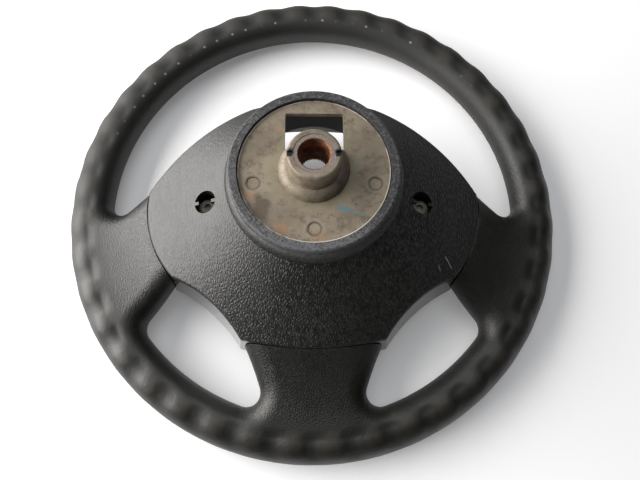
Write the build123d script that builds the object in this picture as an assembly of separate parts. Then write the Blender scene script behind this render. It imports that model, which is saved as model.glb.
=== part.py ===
from build123d import *
import os
from math import cos, hypot, pi, radians, sin, tan

# Car steering wheel with its airbag module taken off, lying face down on its rim.
# Millimetres. The origin is on the column axis in the plane the rim rests on,
# +Z points along the axis from the driver's side to the column side, +Y to twelve o'clock.

# Rim grip
WHEEL_DIAMETER = 380.0
GRIP_DIAMETER = 31.0
GRIP_SEAM_ANGLE = -84.0
CORE_WIDTH = 10.0

# Finger grooves over the back of the grip, angles from the outside of its section
GROOVE_COUNT = 40
GROOVE_DEPTH = 1.3
GROOVE_HALF_WIDTH = 5.5
GROOVE_TOOL_DEPTH = 6.0
GROOVE_CENTRE_ANGLE = 60.0
GROOVE_HALF_REACH = 50.0
GROOVE_START_ANGLE = 5.0
GROOVE_END_ANGLE = 100.0

# Back of the hub: a cone that runs from the collar out to the spokes
CONE_RADIUS = 62.0
CONE_Z = 80.0
CONE_SLOPE = 30.2

# Outline of the rear cover in the rest plane, right half from twelve to six o'clock
OUTLINE_TOP_Y = 72.9
OUTLINE_SHOULDER = (47.6, 68.8)
OUTLINE_FLANK = (95.4, 43.4)
OUTLINE_SIDE = (130.5, 4.8)
OUTLINE_PARTING = (127.7, -32.5)
OUTLINE_LOWER = (105.5, -70.0)
OUTLINE_LOWER_MID = (75.0, -90.7)
OUTLINE_FOOT = (55.8, -113.7)
OUTLINE_BOTTOM_Y = -122.0
COVER_DRAFT = 11.0
COVER_FRONT_Z = 20.0
COVER_WALL = 3.0
COVER_EDGE_RADIUS = 2.0
COVER_GAP = 0.6

# Collar of the cover round the hub plate
COLLAR_RADIUS = 57.0
COLLAR_Z = 96.5
COLLAR_FOOT_RUN = 4.0
COLLAR_FOOT_RISE = 4.6
COLLAR_FOOT_RADIUS = 8.6
COLLAR_EDGE_RADIUS = 1.5
COLLAR_GAP = 0.6

# Edges of the right side spoke and of the foot spoke, from a place under the cover out to the rim
SIDE_SPOKE_TOP_HUB = (90.0, 29.8)
SIDE_SPOKE_TOP_ANGLE = -35.2
SIDE_SPOKE_LOW_HUB = (78.7, -38.1)
SIDE_SPOKE_LOW_ANGLE = -49.7
FOOT_SPOKE_HUB = (72.0, -68.0)
FOOT_SPOKE_MID_X = 44.2
FOOT_SPOKE_RIM_X = 30.4
SPOKE_START_GAP = 1.0
SPOKE_ROOT_RADIUS = 10.0
SPOKE_BACK_RADIUS = 14.0
SPOKE_FRONT_RADIUS = 12.0
SHOULDER_CUT_ANGLE = 20.0
SHOULDER_CUT_SINK = 0.8
SHOULDER_CUT_RUN = 3.5

# Hub of the armature
PLATE_RADIUS = 50.3
PLATE_Z = 94.0
PLATE_THICKNESS = 4.0
HUB_WALL = 4.5
HUB_WALL_FRONT_Z = 66.0
BOSS_RADIUS = 17.2
BOSS_Z = 117.4
BOSS_EDGE_RADIUS = 1.8
BOSS_FLARE_RADIUS = 23.7
BOSS_FLARE_HEIGHT = 6.5
BOSS_FLARE_CURVE = 7.0
BOSS_NOTCH_WIDTH = 4.0
BOSS_NOTCH_DEPTH = 2.0
SEAT_RADIUS = 19.0
SEAT_HEIGHT = 2.0
WINDOW_HALF_WIDTH = 19.6
WINDOW_LOW_Y = 12.0
WINDOW_TOP_Y = 40.5
WINDOW_CORNER_RADIUS = 1.5
MARK_RADIUS = 4.2
MARK_DEPTH = 0.6
MARK_PLACES = ((-40.0, -10.0), (40.0, -10.0), (0.0, -41.0))
RIB_ANGLES = (0.0, 180.0, 225.0, 270.0, 315.0)
RIB_THICKNESS = 3.0
RIB_HEIGHT = 9.0

# Arms of the armature, U section open to the front
ARM_BELOW_COVER = 6.0
ARM_DEPTH = 10.0
ARM_WEB = 3.5
ARM_FLANGE = 4.5
ARM_KNEE_RADIUS = 124.0
ARM_POCKET_END = 105.0
ARM_TIP_DEPTH = 8.4
SIDE_ARM_ANGLE = -16.0
SIDE_ARM_WIDTH = 30.0
FOOT_ARM_WIDTH = 50.0
ARM_NOTCH_GAP = 1.5

# Splined steel bush cast into the boss
BUSH_RADIUS = 13.5
BUSH_LIP = 0.4
BUSH_GROOVE_WIDTH = 4.0
BUSH_GROOVE_DEPTH = 1.0
PILOT_RADIUS = 10.0
PILOT_LENGTH = 11.0
SPLINE_COUNT = 36
SPLINE_DEPTH = 0.7
BUSH_CHAMFER = 0.6

# Captive bolts of the module, parallel to the axis
BOLT_PLACE = (75.0, -15.0)
BOLT_RADIUS = 3.0
BOLT_GAP = 0.3
BOLT_LENGTH = 30.0
BOLT_NECK_RADIUS = 2.4
BOLT_NECK_RUN = 1.0
BOLT_HEAD_RADIUS = 5.0
BOLT_HEAD_HEIGHT = 4.5
BOLT_FLANGE_RADIUS = 6.5
BOLT_FLANGE_HEIGHT = 1.2
BOLT_SOCKET_WIDTH = 4.4
BOLT_SOCKET_DEPTH = 2.5
BOLT_SEAT_RADIUS = 8.0
BOLT_BOSS_RADIUS = 10.0
BOLT_BOSS_HEIGHT = 14.0
SEAT_SINK = 1.0
ACCESS_RADIUS = 7.8
ACCESS_TAB_WIDTH = 2.2
ACCESS_TAB_LENGTH = 3.0

# Screws that hold the cover from the front, one on each arm
SIDE_SCREW_RADIUS = 100.0
FOOT_SCREW_RADIUS = 88.0
SCREW_RADIUS = 2.0
SCREW_GAP = 0.2
SCREW_TIP_GAP = 0.5
SCREW_HEAD_RADIUS = 4.0
SCREW_HEAD_HEIGHT = 2.6
SCREW_SEAT_RADIUS = 6.0
SCREW_BOSS_RADIUS = 8.5
SCREW_BOSS_HEIGHT = 5.0
POST_RADIUS = 5.0

# Worked out from the sizes above
TINY = 0.05
GRIP_RADIUS = GRIP_DIAMETER / 2
RIM_RADIUS = WHEEL_DIAMETER / 2 - GRIP_RADIUS
RIM_Z = GRIP_RADIUS
GAP_RADIUS = RIM_RADIUS - GRIP_RADIUS
SPOKE_START_RADIUS = SPOKE_START_GAP + max(
    hypot(*place) for place in (SIDE_SPOKE_TOP_HUB, SIDE_SPOKE_LOW_HUB, FOOT_SPOKE_HUB)
)
ABOVE_ALL = BOSS_Z + GRIP_DIAMETER
PLATE_FRONT_Z = PLATE_Z - PLATE_THICKNESS
SEAT_Z = PLATE_FRONT_Z - SEAT_HEIGHT
COLLAR_BORE = PLATE_RADIUS + COLLAR_GAP
WALL_DROP = COVER_WALL / cos(radians(CONE_SLOPE))


def cone_z(radius):
    """Height of the hub's cone at a distance from the axis."""
    return CONE_Z - (radius - CONE_RADIUS) * tan(radians(CONE_SLOPE))


def arm_z(radius):
    """Height of the arms' back face, a set distance under the cover."""
    return cone_z(radius) - WALL_DROP - ARM_BELOW_COVER


def mirrored(place):
    """The same place on the other side of the wheel."""
    return (-place[0], place[1])


def past_rim(place, angle):
    """The point past the rim that an edge runs to from a place near the hub."""
    reach = WHEEL_DIAMETER / 2
    return (place[0] + reach * cos(radians(angle)), place[1] + reach * sin(radians(angle)))


def side_arm_point(radius):
    """Place on the centre line of the right arm."""
    angle = radians(SIDE_ARM_ANGLE)
    return (radius * cos(angle), radius * sin(angle))


def revolved(*edges):
    """Solid of revolution about the column axis from closed edges in the XZ plane."""
    return revolve(make_face(Plane.XZ * Wire(list(edges))), Axis.Z)


def rod(radius, low_z, high_z, place=(0.0, 0.0)):
    """Upright round bar between two heights."""
    return Pos(place[0], place[1], low_z) * Cylinder(
        radius, high_z - low_z, align=(Align.CENTER, Align.CENTER, Align.MIN)
    )


def hub_outline():
    """Plan of the rear cover in the rest plane, anticlockwise from the right end of its foot."""
    right = [
        (OUTLINE_FOOT, OUTLINE_LOWER_MID, OUTLINE_LOWER),
        (OUTLINE_LOWER, OUTLINE_PARTING, OUTLINE_SIDE),
        (OUTLINE_SIDE, OUTLINE_FLANK, OUTLINE_SHOULDER),
    ]
    top = (OUTLINE_SHOULDER, (0.0, OUTLINE_TOP_Y), mirrored(OUTLINE_SHOULDER))
    left = [tuple(map(mirrored, reversed(points))) for points in reversed(right)]
    bottom = (mirrored(OUTLINE_FOOT), (0.0, OUTLINE_BOTTOM_Y), OUTLINE_FOOT)
    return make_face([ThreePointArc(*points) for points in [*right, top, *left, bottom]])


def hub_prism(grow):
    """Drafted block of the cover's outline. Raised or sunk along its draft, it grows or shrinks evenly."""
    rise = grow / tan(radians(COVER_DRAFT))
    return Pos(0.0, 0.0, rise) * extrude(hub_outline(), ABOVE_ALL, taper=COVER_DRAFT)


def grip_blank():
    """Ring with the rim's rounded edge, swept up at the back into the hub's cone.

    Its seam lies between two finger grooves, beside six o'clock.
    """
    slope = radians(CONE_SLOPE)
    depth = GRIP_DIAMETER
    sweep = (depth - cone_z(RIM_RADIUS)) / (sin(slope) * tan(slope) - (1 - cos(slope)))
    bend = (RIM_RADIUS - sweep * sin(slope), sweep * (1 - cos(slope)))
    mid = (RIM_RADIUS - sweep * sin(slope / 2), sweep * (1 - cos(slope / 2)))
    start_z = cone_z(SPOKE_START_RADIUS)
    front_z = start_z - depth
    ring = revolved(
        Line((SPOKE_START_RADIUS, start_z), (bend[0], bend[1] + depth)),
        ThreePointArc((bend[0], bend[1] + depth), (mid[0], mid[1] + depth), (RIM_RADIUS, depth)),
        ThreePointArc((RIM_RADIUS, depth), (RIM_RADIUS + GRIP_RADIUS, RIM_Z), (RIM_RADIUS, 0.0)),
        ThreePointArc((RIM_RADIUS, 0.0), mid, bend),
        Line(bend, (SPOKE_START_RADIUS, front_z)),
        Line((SPOKE_START_RADIUS, front_z), (SPOKE_START_RADIUS, start_z)),
    )
    return Rot(0.0, 0.0, GRIP_SEAM_ANGLE) * ring


def gap_plans():
    """Plans of the three gaps between rim and hub, rounded where a spoke meets the rim."""
    far = WHEEL_DIAMETER
    top_rim = past_rim(SIDE_SPOKE_TOP_HUB, SIDE_SPOKE_TOP_ANGLE)
    top = make_face(
        Polyline(
            top_rim,
            SIDE_SPOKE_TOP_HUB,
            mirrored(SIDE_SPOKE_TOP_HUB),
            mirrored(top_rim),
            (-far, 0.0),
            (-far, far),
            (far, far),
            (far, 0.0),
            close=True,
        )
    )
    foot_rim = (FOOT_SPOKE_RIM_X, -RIM_RADIUS)
    foot_mid = (FOOT_SPOKE_MID_X, (FOOT_SPOKE_HUB[1] - RIM_RADIUS) / 2)
    foot_edge = ThreePointArc(FOOT_SPOKE_HUB, foot_mid, foot_rim)
    rest = Polyline(
        foot_rim,
        (FOOT_SPOKE_RIM_X, -far),
        (far, -far),
        past_rim(SIDE_SPOKE_LOW_HUB, SIDE_SPOKE_LOW_ANGLE),
        SIDE_SPOKE_LOW_HUB,
        FOOT_SPOKE_HUB,
    )
    low = make_face([foot_edge, rest])
    plans = []
    for plan in (top, low):
        plan = plan & Circle(GAP_RADIUS)
        roots = [v for v in plan.vertices() if abs(hypot(v.X, v.Y) - GAP_RADIUS) < TINY]
        plans.append(fillet(roots, SPOKE_ROOT_RADIUS))
    return [plans[0], plans[1], mirror(plans[1], Plane.YZ)]


def gap_edges(grip, plans):
    """Edges of the gaps on the back and on the front of the grip, without the upright ones."""
    outlines = [plan.wire() for plan in plans]
    back, front = [], []
    for edge in grip.edges():
        start, middle, end = edge @ 0.0, edge @ 0.5, edge @ 1.0
        level = hypot(start.X - end.X, start.Y - end.Y) > TINY
        on_grip = hypot(middle.X, middle.Y) > SPOKE_START_RADIUS + TINY
        spot = Vertex(middle.X, middle.Y, 0.0)
        on_gap = min(outline.distance_to(spot) for outline in outlines) < TINY
        if level and on_grip and on_gap:
            below = min(start.Z, end.Z) < middle_z(hypot(start.X, start.Y))
            (front if below else back).append(edge)
    return back, front


def middle_z(radius):
    """A height between the front and the back of the grip at a distance from the axis."""
    return max(cone_z(radius) - GRIP_RADIUS, RIM_Z)


def grip_with_gaps():
    """The blank with the gaps cut through it and their edges rounded like the rim."""
    grip = grip_blank()
    plans = gap_plans()
    for plan in plans:
        grip -= extrude(plan, ABOVE_ALL, both=True)
    back, _ = gap_edges(grip, plans)
    grip = fillet(back, SPOKE_BACK_RADIUS)
    _, front = gap_edges(grip, plans)
    return fillet(front, SPOKE_FRONT_RADIUS)


def finger_grooves():
    """Ring tools of V section across the back of the grip, running out towards its outside."""
    run_out = cos(radians(GROOVE_HALF_REACH))
    lift = GROOVE_DEPTH * run_out / (1 - run_out)
    shift = GROOVE_DEPTH + lift
    centre = radians(GROOVE_CENTRE_ANGLE)
    axis_place = (RIM_RADIUS - shift * cos(centre), 0.0, RIM_Z - shift * sin(centre))
    floor = GRIP_RADIUS + lift
    half_width = GROOVE_HALF_WIDTH * GROOVE_TOOL_DEPTH / GROOVE_DEPTH
    start = radians(GROOVE_START_ANGLE)
    plane = Plane(origin=axis_place, x_dir=(cos(start), 0.0, sin(start)), z_dir=(-sin(start), 0.0, cos(start)))
    top = floor + GROOVE_TOOL_DEPTH
    section = make_face(plane * Polyline((floor, 0.0), (top, half_width), (top, -half_width), close=True))
    span = GROOVE_END_ANGLE - GROOVE_START_ANGLE
    tool = revolve(section, Axis(axis_place, (0.0, -1.0, 0.0)), span)
    step = 360.0 / GROOVE_COUNT
    return [Rot(0.0, 0.0, step * turn) * tool for turn in range(GROOVE_COUNT)]


def shoulder_cut():
    """Block over both upper corners of the cover, so that a side spoke ends at the wall beside it."""
    slope = tan(radians(SHOULDER_CUT_ANGLE))
    middle_y = OUTLINE_SIDE[1] - SHOULDER_CUT_SINK - OUTLINE_SIDE[0] * slope
    outer_x = OUTLINE_SIDE[0] + SHOULDER_CUT_RUN
    outer = (outer_x, middle_y + outer_x * slope)
    block = Polyline((0.0, middle_y), outer, OUTLINE_FLANK, mirrored(OUTLINE_FLANK), mirrored(outer), close=True)
    return extrude(make_face(block), ABOVE_ALL, both=True)


def foam_rim(core):
    """Foam moulding of the rim and the three spokes round the armature's core."""
    foam = grip_with_gaps() - shoulder_cut()
    foam -= hub_prism(COVER_GAP)
    foam -= core
    return foam - finger_grooves()


def cover_form(inset):
    """Drafted block under the hub's cone, inset evenly from the outside of the cover."""
    reach = hypot(*OUTLINE_SIDE) + COVER_WALL
    drop = inset / cos(radians(CONE_SLOPE))
    peak = cone_z(0.0) - drop
    cone = revolved(
        Line((0.0, 0.0), (reach, 0.0)),
        Line((reach, 0.0), (reach, cone_z(reach) - drop)),
        Line((reach, cone_z(reach) - drop), (0.0, peak)),
        Line((0.0, peak), (0.0, 0.0)),
    )
    return Rot(0.0, 0.0, 90.0) * cone & hub_prism(-inset / cos(radians(COVER_DRAFT)))


def cover_outside():
    """Outside of the cover without its collar, with its long edges rounded."""
    form = cover_form(0.0)
    peak = cone_z(0.0)
    edges = []
    for edge in form.edges():
        high = max((edge @ 0.0).Z, (edge @ 1.0).Z)
        if TINY < high < peak - TINY:
            edges.append(edge)
    return fillet(edges, COVER_EDGE_RADIUS)


def collar():
    """Upright ring round the hub plate and its hollow foot on the cone."""
    low_z = cone_z(COLLAR_RADIUS) - WALL_DROP
    ring = rod(COLLAR_RADIUS, low_z, COLLAR_Z)
    top = ring.edges().sort_by(Axis.Z)[-1]
    ring = fillet(top, COLLAR_EDGE_RADIUS)
    foot_high = (COLLAR_RADIUS, cone_z(COLLAR_RADIUS) + COLLAR_FOOT_RISE)
    foot_out = COLLAR_RADIUS + COLLAR_FOOT_RUN
    foot_low = (foot_out, cone_z(foot_out))
    foot = revolved(
        RadiusArc(foot_high, foot_low, COLLAR_FOOT_RADIUS),
        Line(foot_low, (COLLAR_RADIUS, cone_z(foot_out))),
        Line((COLLAR_RADIUS, cone_z(foot_out)), foot_high),
    )
    return ring + (foot & hub_prism(0.0))


def access_hole(place):
    """Tool for an access hole with two small tabs that reach in from its sides."""
    hole = rod(ACCESS_RADIUS, COVER_FRONT_Z, ABOVE_ALL, place)
    for side in (-1, 1):
        tab_x = place[0] + side * ACCESS_RADIUS
        hole -= Pos(tab_x, place[1], ABOVE_ALL / 2) * Box(
            2 * ACCESS_TAB_LENGTH, ACCESS_TAB_WIDTH, ABOVE_ALL
        )
    return hole


def screw_places():
    """Places of the cover screws in plan, each with its distance along its arm."""
    side = side_arm_point(SIDE_SCREW_RADIUS)
    foot = (0.0, -FOOT_SCREW_RADIUS)
    return [
        (side, SIDE_SCREW_RADIUS),
        (mirrored(side), SIDE_SCREW_RADIUS),
        (foot, FOOT_SCREW_RADIUS),
    ]


def seat_z(reach, radius):
    """Height of a flat round seat sunk into the back of an arm."""
    return arm_z(reach + radius) - SEAT_SINK


def screw_seat_z(reach):
    """Height of the seat on an arm that a post of the cover stands on."""
    return seat_z(reach, SCREW_SEAT_RADIUS)


def screw_tip_z(place):
    """Height of a cover screw's tip, under the skin of the cover."""
    return cone_z(hypot(*place) + SCREW_RADIUS) - COVER_WALL


def rear_cover():
    """Thin moulded cover over the back of the hub, with posts that stand on the arms."""
    outside = cover_outside() + collar()
    shell = outside - cover_form(COVER_WALL)
    for place, reach in screw_places():
        shell += rod(POST_RADIUS, screw_seat_z(reach), ABOVE_ALL, place) & outside
    shell -= rod(COLLAR_BORE, 0.0, ABOVE_ALL)
    shell -= rod(hypot(*OUTLINE_SIDE) + COVER_WALL, -COVER_FRONT_Z, COVER_FRONT_Z)
    for place in (BOLT_PLACE, mirrored(BOLT_PLACE)):
        shell -= access_hole(place)
    for place, reach in screw_places():
        shell -= rod(SCREW_RADIUS, screw_seat_z(reach), screw_tip_z(place) + SCREW_TIP_GAP, place)
    for angle, width in arms():
        shell -= Rot(0.0, 0.0, angle) * arm_notch(width)
    return shell


def arms():
    """Direction and width of each arm."""
    return [
        (SIDE_ARM_ANGLE, SIDE_ARM_WIDTH),
        (180.0 - SIDE_ARM_ANGLE, SIDE_ARM_WIDTH),
        (-90.0, FOOT_ARM_WIDTH),
    ]


def arm_bar(width, depth, start, end_drop):
    """Bar along +X under the cover's cone, knee at the spoke, ending in the rim core."""
    half_tip = ARM_TIP_DEPTH / 2
    points = [
        (start, arm_z(start)),
        (ARM_KNEE_RADIUS, arm_z(ARM_KNEE_RADIUS)),
        (RIM_RADIUS, RIM_Z + half_tip),
        (RIM_RADIUS, RIM_Z - half_tip - end_drop),
        (ARM_KNEE_RADIUS, arm_z(ARM_KNEE_RADIUS) - depth - end_drop),
        (start, arm_z(start) - depth - end_drop),
    ]
    side = make_face(Plane.XZ * Polyline(*points, close=True))
    return extrude(side, width / 2, both=True)


def arm_notch(width):
    """Room for an arm where it leaves the cover, open to the front."""
    inner = PLATE_RADIUS + HUB_WALL
    bar = arm_bar(width + 2 * ARM_NOTCH_GAP, ARM_DEPTH, inner, COVER_FRONT_Z)
    return Pos(0.0, 0.0, ARM_NOTCH_GAP) * bar


def arm(width):
    """Arm of U section, open to the front between the hub wall and the spoke."""
    inner = PLATE_RADIUS - HUB_WALL / 2
    bar = arm_bar(width, ARM_DEPTH, inner, 0.0)
    start, end = PLATE_RADIUS + HUB_WALL, ARM_POCKET_END
    pocket = make_face(
        Plane.XZ
        * Polyline(
            (start, arm_z(start) - ARM_WEB),
            (end, arm_z(end) - ARM_WEB),
            (end, arm_z(end) - 2 * ARM_DEPTH),
            (start, arm_z(start) - 2 * ARM_DEPTH),
            close=True,
        )
    )
    return bar - extrude(pocket, width / 2 - ARM_FLANGE, both=True)


def hub_casting():
    """Hub plate with its boss, hollow flare, outer wall, nut seat and ribs."""
    hub = rod(PLATE_RADIUS, PLATE_FRONT_Z, PLATE_Z)
    wall = rod(PLATE_RADIUS, HUB_WALL_FRONT_Z, PLATE_Z)
    hub += wall - rod(PLATE_RADIUS - HUB_WALL, HUB_WALL_FRONT_Z, PLATE_Z)
    boss = rod(BOSS_RADIUS, PLATE_FRONT_Z, BOSS_Z)
    boss = fillet(boss.edges().sort_by(Axis.Z)[-1], BOSS_EDGE_RADIUS)
    flare_z = PLATE_Z + BOSS_FLARE_HEIGHT
    flare = revolved(
        RadiusArc((BOSS_RADIUS, flare_z), (BOSS_FLARE_RADIUS, PLATE_Z), BOSS_FLARE_CURVE),
        Line((BOSS_FLARE_RADIUS, PLATE_Z), (0.0, PLATE_Z)),
        Line((0.0, PLATE_Z), (0.0, flare_z)),
        Line((0.0, flare_z), (BOSS_RADIUS, flare_z)),
    )
    window = Pos(0.0, (WINDOW_LOW_Y + WINDOW_TOP_Y) / 2, PLATE_Z) * extrude(
        RectangleRounded(2 * WINDOW_HALF_WIDTH, WINDOW_TOP_Y - WINDOW_LOW_Y, WINDOW_CORNER_RADIUS),
        BOSS_FLARE_HEIGHT,
        both=True,
    )
    hub += flare
    for angle in RIB_ANGLES:
        rib_length = PLATE_RADIUS - HUB_WALL / 2 - SEAT_RADIUS
        rib = Box(rib_length, RIB_THICKNESS, RIB_HEIGHT, align=(Align.MIN, Align.CENTER, Align.MAX))
        hub += Rot(0.0, 0.0, angle) * Pos(SEAT_RADIUS, 0.0, PLATE_FRONT_Z) * rib
    hub -= window
    hub += boss
    hub += rod(SEAT_RADIUS, SEAT_Z, PLATE_FRONT_Z)
    for place in MARK_PLACES:
        hub -= rod(MARK_RADIUS, PLATE_Z - MARK_DEPTH, PLATE_Z + MARK_DEPTH, place)
    for side in (-1, 1):
        hub -= Pos(side * BOSS_RADIUS, 0.0, BOSS_Z) * Box(
            2 * (BOSS_RADIUS - PILOT_RADIUS), BOSS_NOTCH_WIDTH, 2 * BOSS_NOTCH_DEPTH
        )
    return hub


def bolt_seat_z():
    """Height of the seat under the module bolts' heads."""
    along = radians(SIDE_ARM_ANGLE)
    reach = BOLT_PLACE[0] * cos(along) + BOLT_PLACE[1] * sin(along)
    return seat_z(reach, BOLT_SEAT_RADIUS)


def arm_boss(place, radius, low_z):
    """Round boss under an arm, flush with the back of the arm."""
    post = rod(radius, low_z, ABOVE_ALL, place)
    bosses = []
    for angle, width in arms():
        common = post & Rot(0.0, 0.0, angle) * arm_bar(width, ARM_DEPTH, PLATE_RADIUS, ABOVE_ALL)
        if common:
            bosses.append(common)
    return bosses


def rim_core():
    """Square core of the rim with the three arms."""
    section = Plane.XZ * Pos(RIM_RADIUS, RIM_Z) * Rectangle(CORE_WIDTH, CORE_WIDTH)
    core = revolve(section, Axis.Z)
    for angle, width in arms():
        core += Rot(0.0, 0.0, angle) * arm(width)
    return core


def armature(core):
    """Die-cast skeleton: hub, arms with their bosses and seats, core of the rim, hole for the bush."""
    frame = hub_casting() + core
    for place in (BOLT_PLACE, mirrored(BOLT_PLACE)):
        seat = bolt_seat_z()
        low = seat - BOLT_BOSS_HEIGHT
        frame += arm_boss(place, BOLT_BOSS_RADIUS, low)
        frame -= rod(BOLT_SEAT_RADIUS, seat, ABOVE_ALL, place)
        frame -= rod(BOLT_RADIUS + BOLT_GAP, low, seat, place)
    for place, reach in screw_places():
        seat = screw_seat_z(reach)
        low = seat - SCREW_BOSS_HEIGHT
        frame += arm_boss(place, SCREW_BOSS_RADIUS, low)
        frame -= rod(SCREW_SEAT_RADIUS, seat, ABOVE_ALL, place)
        frame -= rod(SCREW_RADIUS + SCREW_GAP, low, seat, place)
    return frame - bush_blank() - rod(BUSH_RADIUS, BOSS_Z - BUSH_LIP, ABOVE_ALL)


def bush_blank():
    """Outside of the steel bush, with the groove that keeps it in the casting."""
    low, high = SEAT_Z, BOSS_Z - BUSH_LIP
    blank = rod(BUSH_RADIUS, low, high)
    groove_z = (low + PLATE_Z) / 2
    groove = rod(BUSH_RADIUS, groove_z, groove_z + BUSH_GROOVE_WIDTH)
    groove -= rod(BUSH_RADIUS - BUSH_GROOVE_DEPTH, groove_z, groove_z + BUSH_GROOVE_WIDTH)
    return blank - groove


def spline_hole():
    """Plan of the splined hole, one tooth after another."""
    tip = PILOT_RADIUS - SPLINE_DEPTH
    step = 2 * pi / SPLINE_COUNT
    points = []
    for tooth in range(SPLINE_COUNT):
        for share, radius in ((-0.42, PILOT_RADIUS), (-0.12, tip), (0.12, tip), (0.42, PILOT_RADIUS)):
            angle = (tooth + share) * step
            points.append((radius * cos(angle), radius * sin(angle)))
    return make_face(Polyline(*points, close=True))


def hub_bush():
    """Steel bush with a plain pilot at the column end and a spline below it."""
    low, high = SEAT_Z, BOSS_Z - BUSH_LIP
    bush = bush_blank()
    bush -= rod(PILOT_RADIUS, high - PILOT_LENGTH, high)
    bush -= Pos(0.0, 0.0, low) * extrude(spline_hole(), high - PILOT_LENGTH - low)
    mouth = Pos(0.0, 0.0, high - BUSH_CHAMFER) * Cone(
        PILOT_RADIUS,
        PILOT_RADIUS + BUSH_CHAMFER,
        BUSH_CHAMFER,
        align=(Align.CENTER, Align.CENTER, Align.MIN),
    )
    return bush - mouth


def module_bolt(place):
    """Flanged captive bolt with a hexagon socket and a thin neck in its boss, head towards the column."""
    seat = bolt_seat_z()
    head_z = seat + BOLT_HEAD_HEIGHT
    neck_z = seat - BOLT_BOSS_HEIGHT - BOLT_NECK_RUN
    bolt = rod(BOLT_RADIUS, seat - BOLT_LENGTH, neck_z, place)
    bolt = chamfer(bolt.edges().sort_by(Axis.Z)[0], BOLT_RADIUS / 4)
    bolt += rod(BOLT_NECK_RADIUS, neck_z, seat, place)
    bolt += rod(BOLT_FLANGE_RADIUS, seat, seat + BOLT_FLANGE_HEIGHT, place)
    bolt += rod(BOLT_HEAD_RADIUS, seat, head_z, place)
    socket = extrude(RegularPolygon(BOLT_SOCKET_WIDTH / 2, 6, major_radius=False), -BOLT_SOCKET_DEPTH)
    return bolt - Pos(place[0], place[1], head_z) * socket


def cover_screw(place, reach):
    """Pan-head screw put in from the front, through the arm's boss into a post."""
    low = screw_seat_z(reach) - SCREW_BOSS_HEIGHT
    shank = rod(SCREW_RADIUS, low, screw_tip_z(place), place)
    head = rod(SCREW_HEAD_RADIUS, low - SCREW_HEAD_HEIGHT, low, place)
    head = chamfer(head.edges().sort_by(Axis.Z)[0], SCREW_HEAD_HEIGHT / 2)
    return shank + head


core_frame = rim_core()
bolts = [module_bolt(place) for place in (BOLT_PLACE, mirrored(BOLT_PLACE))]
screws = [cover_screw(place, reach) for place, reach in screw_places()]
nodes = {
    "armature": armature(core_frame),
    "hub_bush": hub_bush(),
    "foam_rim": foam_rim(core_frame),
    "rear_cover": rear_cover(),
    "module_bolts": Compound(children=bolts),
    "cover_screws": Compound(children=screws),
}
os.makedirs("parts", exist_ok=True)
for name, shape in nodes.items():
    export_step(shape, f"parts/{name}.step")
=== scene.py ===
import logging
from dataclasses import dataclass, field
from enum import Enum
from math import atan2, cos, hypot, pi, radians, sin, sqrt, tan
from typing import Any, Optional

import bmesh
import bpy
import numpy as np
from mathutils import Matrix, Vector


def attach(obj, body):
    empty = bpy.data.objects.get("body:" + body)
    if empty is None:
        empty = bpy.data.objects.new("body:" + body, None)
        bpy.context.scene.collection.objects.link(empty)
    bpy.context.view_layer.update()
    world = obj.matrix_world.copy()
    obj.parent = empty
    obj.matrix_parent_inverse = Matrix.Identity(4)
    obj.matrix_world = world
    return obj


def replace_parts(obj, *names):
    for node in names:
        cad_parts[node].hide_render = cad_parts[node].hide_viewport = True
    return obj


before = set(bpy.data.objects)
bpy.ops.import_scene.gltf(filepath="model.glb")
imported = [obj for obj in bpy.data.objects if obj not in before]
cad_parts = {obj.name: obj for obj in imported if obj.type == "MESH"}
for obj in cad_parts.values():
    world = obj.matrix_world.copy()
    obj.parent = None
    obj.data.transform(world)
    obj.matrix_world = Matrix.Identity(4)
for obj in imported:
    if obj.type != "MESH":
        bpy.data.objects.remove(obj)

LOG = logging.getLogger("steering_wheel")
# One millimetre, in metres.
MM = 0.001
# Points of neighbouring grids that are nearer than this, in millimetres, become one.
WELD = 0.002
# Edges that turn by more than this stay sharp.
CREASE = radians(50.0)
# Rounds of nearing that find where a line meets the cover's wall.
WALL_ROUNDS = 50
# How far inside its start an edge can meet the cover's wall, in millimetres.
WALL_SEARCH = 60.0
Array = np.ndarray
Point = tuple[float, float]
Place = tuple[float, float, float]
Tint = tuple[float, float, float]
Colour = tuple[float, float, float, float]


class Solid(Enum):
    """Nodes of the CAD frame."""

    ARMATURE = "armature"
    BUSH = "hub_bush"
    FOAM = "foam_rim"
    COVER = "rear_cover"
    BOLTS = "module_bolts"
    SCREWS = "cover_screws"


class Trace(Enum):
    """Numbers that the grip's mesh carries at its vertices for its finish."""

    GIRTH = "girth"
    RIPPLE = "ripple"
    FINE_RIPPLE = "ripple_twice"
    ON_RIM = "on_rim"


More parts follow.
